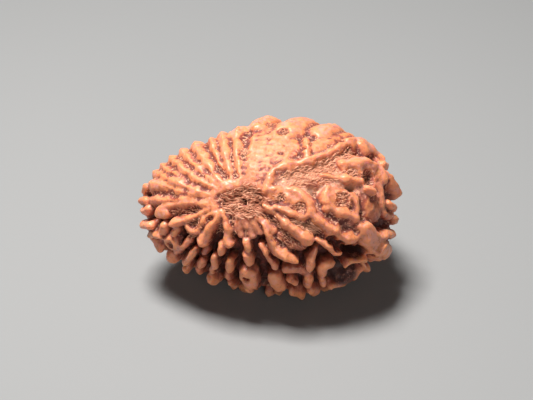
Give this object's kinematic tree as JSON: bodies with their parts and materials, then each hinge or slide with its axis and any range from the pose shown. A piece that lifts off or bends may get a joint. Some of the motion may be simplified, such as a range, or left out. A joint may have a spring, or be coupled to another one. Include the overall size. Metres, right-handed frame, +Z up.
{
  "type": "rudraksha seed",
  "caption": "Egg-shaped woody seed stone with a fibrous pore at each end of its short axis, radiating ridges and deep furrows that break into knobs.",
  "frame": {"origin": "middle of the bounding box's bottom, on the surface that the stone rests on", "axes": "+X along the stone towards its broad end, +Z up; the pore that shows faces -Y and up, 40 degrees above the horizon"},
  "size_m": [0.0329, 0.0228, 0.0219],
  "materials": {
    "stone_shell": "satin, hand-burnished"
  },
  "bodies": {
    "root": {"stone": "stone_shell"}
  },
  "joints": []
}
